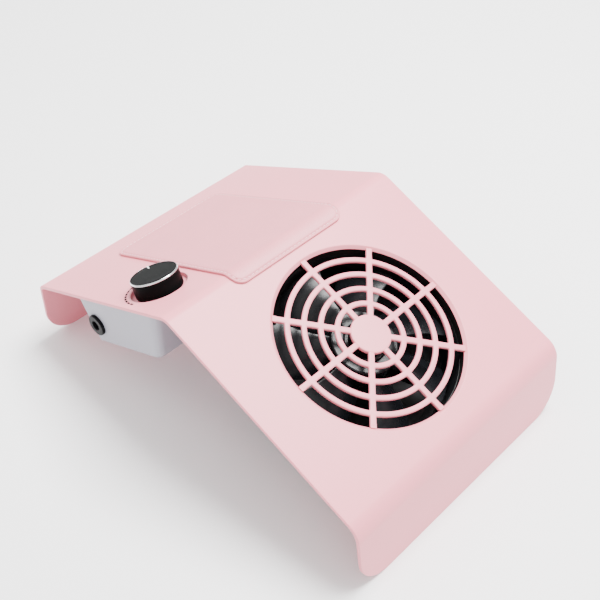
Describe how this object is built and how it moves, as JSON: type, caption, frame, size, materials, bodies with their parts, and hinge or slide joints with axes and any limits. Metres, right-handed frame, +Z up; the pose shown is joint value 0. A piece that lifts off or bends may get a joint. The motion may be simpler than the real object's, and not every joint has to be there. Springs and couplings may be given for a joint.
{
  "type": "nail dust collector",
  "caption": "Arch-shaped table-top dust collector with a sloping round intake grille over a fan, a leather hand rest, a speed knob and a power inlet.",
  "frame": {"origin": "on the table, under the middle of the shell's width and depth", "axes": "+Z up, -Y faces the technician and the intake slope, +Y is the rear with the control box, +X is the technician's right"},
  "size_m": [0.182, 0.2788, 0.1045],
  "materials": {
    "shell_pink": "pale pink, smooth, semi-gloss",
    "rest_leather": "pink synthetic leather, fine grain",
    "black_plastic": "black, satin",
    "box_grey": "light grey, fine texture",
    "steel": "plated steel",
    "trim_silver": "bright silver",
    "magnet": "bonded ferrite, dark grey",
    "bronze": "oil-filled sintered bronze",
    "copper": "enamelled copper",
    "board": "green circuit board",
    "phenolic": "brown phenolic board",
    "lead_sleeve": "red and black insulated wire",
    "grommet_rubber": "soft black rubber",
    "bag_cloth": "charcoal non-woven cloth",
    "elastic": "black elastic band",
    "capacitor_sleeve": "dark blue shrink sleeve",
    "chip": "black moulded epoxy",
    "ivory_plastic": "ivory nylon",
    "heat_sink": "plain aluminium",
    "pointer_white": "white inlay"
  },
  "bodies": {
    "housing": {"top_shell": "shell_pink", "hand_rest_pad": "rest_leather", "intake_grille": "shell_pink", "fan_frame": "black_plastic", "sleeve_bearing": "bronze", "stator_core": "steel", "stator_coils": "copper", "fan_circuit_board": "board", "fan_leads": "lead_sleeve", "fan_screws": "steel", "control_box": "box_grey", "box_screws": "steel", "lead_grommet": "grommet_rubber", "power_jack": "black_plastic", "jack_nut": "steel", "jack_pin": "steel", "jack_leads": "lead_sleeve", "pot_body": "steel", "pot_track": "phenolic", "pot_washer": "steel", "pot_nut": "steel", "pot_leads": "lead_sleeve", "control_board": "board", "board_capacitors": "capacitor_sleeve", "board_inductor": "copper", "drive_transistor": "chip", "transistor_heat_sink": "heat_sink", "controller_chip": "chip", "wire_sockets": "ivory_plastic", "board_screws": "steel"},
    "fan_rotor": {"fan_impeller": "black_plastic", "rotor_yoke": "steel", "rotor_magnet": "magnet", "fan_shaft": "steel", "shaft_clip": "steel"},
    "speed_knob": {"knob_body": "black_plastic", "knob_trim_ring": "trim_silver", "knob_pointer": "pointer_white", "pot_shaft": "heat_sink", "pot_wiper": "copper"},
    "bag": {"dust_bag": "bag_cloth", "bag_elastic": "elastic"}
  },
  "joints": [
    {"name": "impeller_spin", "type": "hinge", "parent": "housing", "child": "fan_rotor", "pos_m": [0, -0.05473, 0.05607], "axis": [0, -0.3859, 0.9225], "continuous": true},
    {"name": "knob_turn", "type": "hinge", "parent": "housing", "child": "speed_knob", "pos_m": [-0.066, 0.04296, 0.0879], "axis": [0, 0.4051, 0.9143], "range_deg": [-129.5, 170.5]},
    {"name": "bag_pull", "type": "slide", "parent": "housing", "child": "bag", "axis": [0, 0.3859, -0.9225], "range_m": [0, 0.0085]}
  ]
}
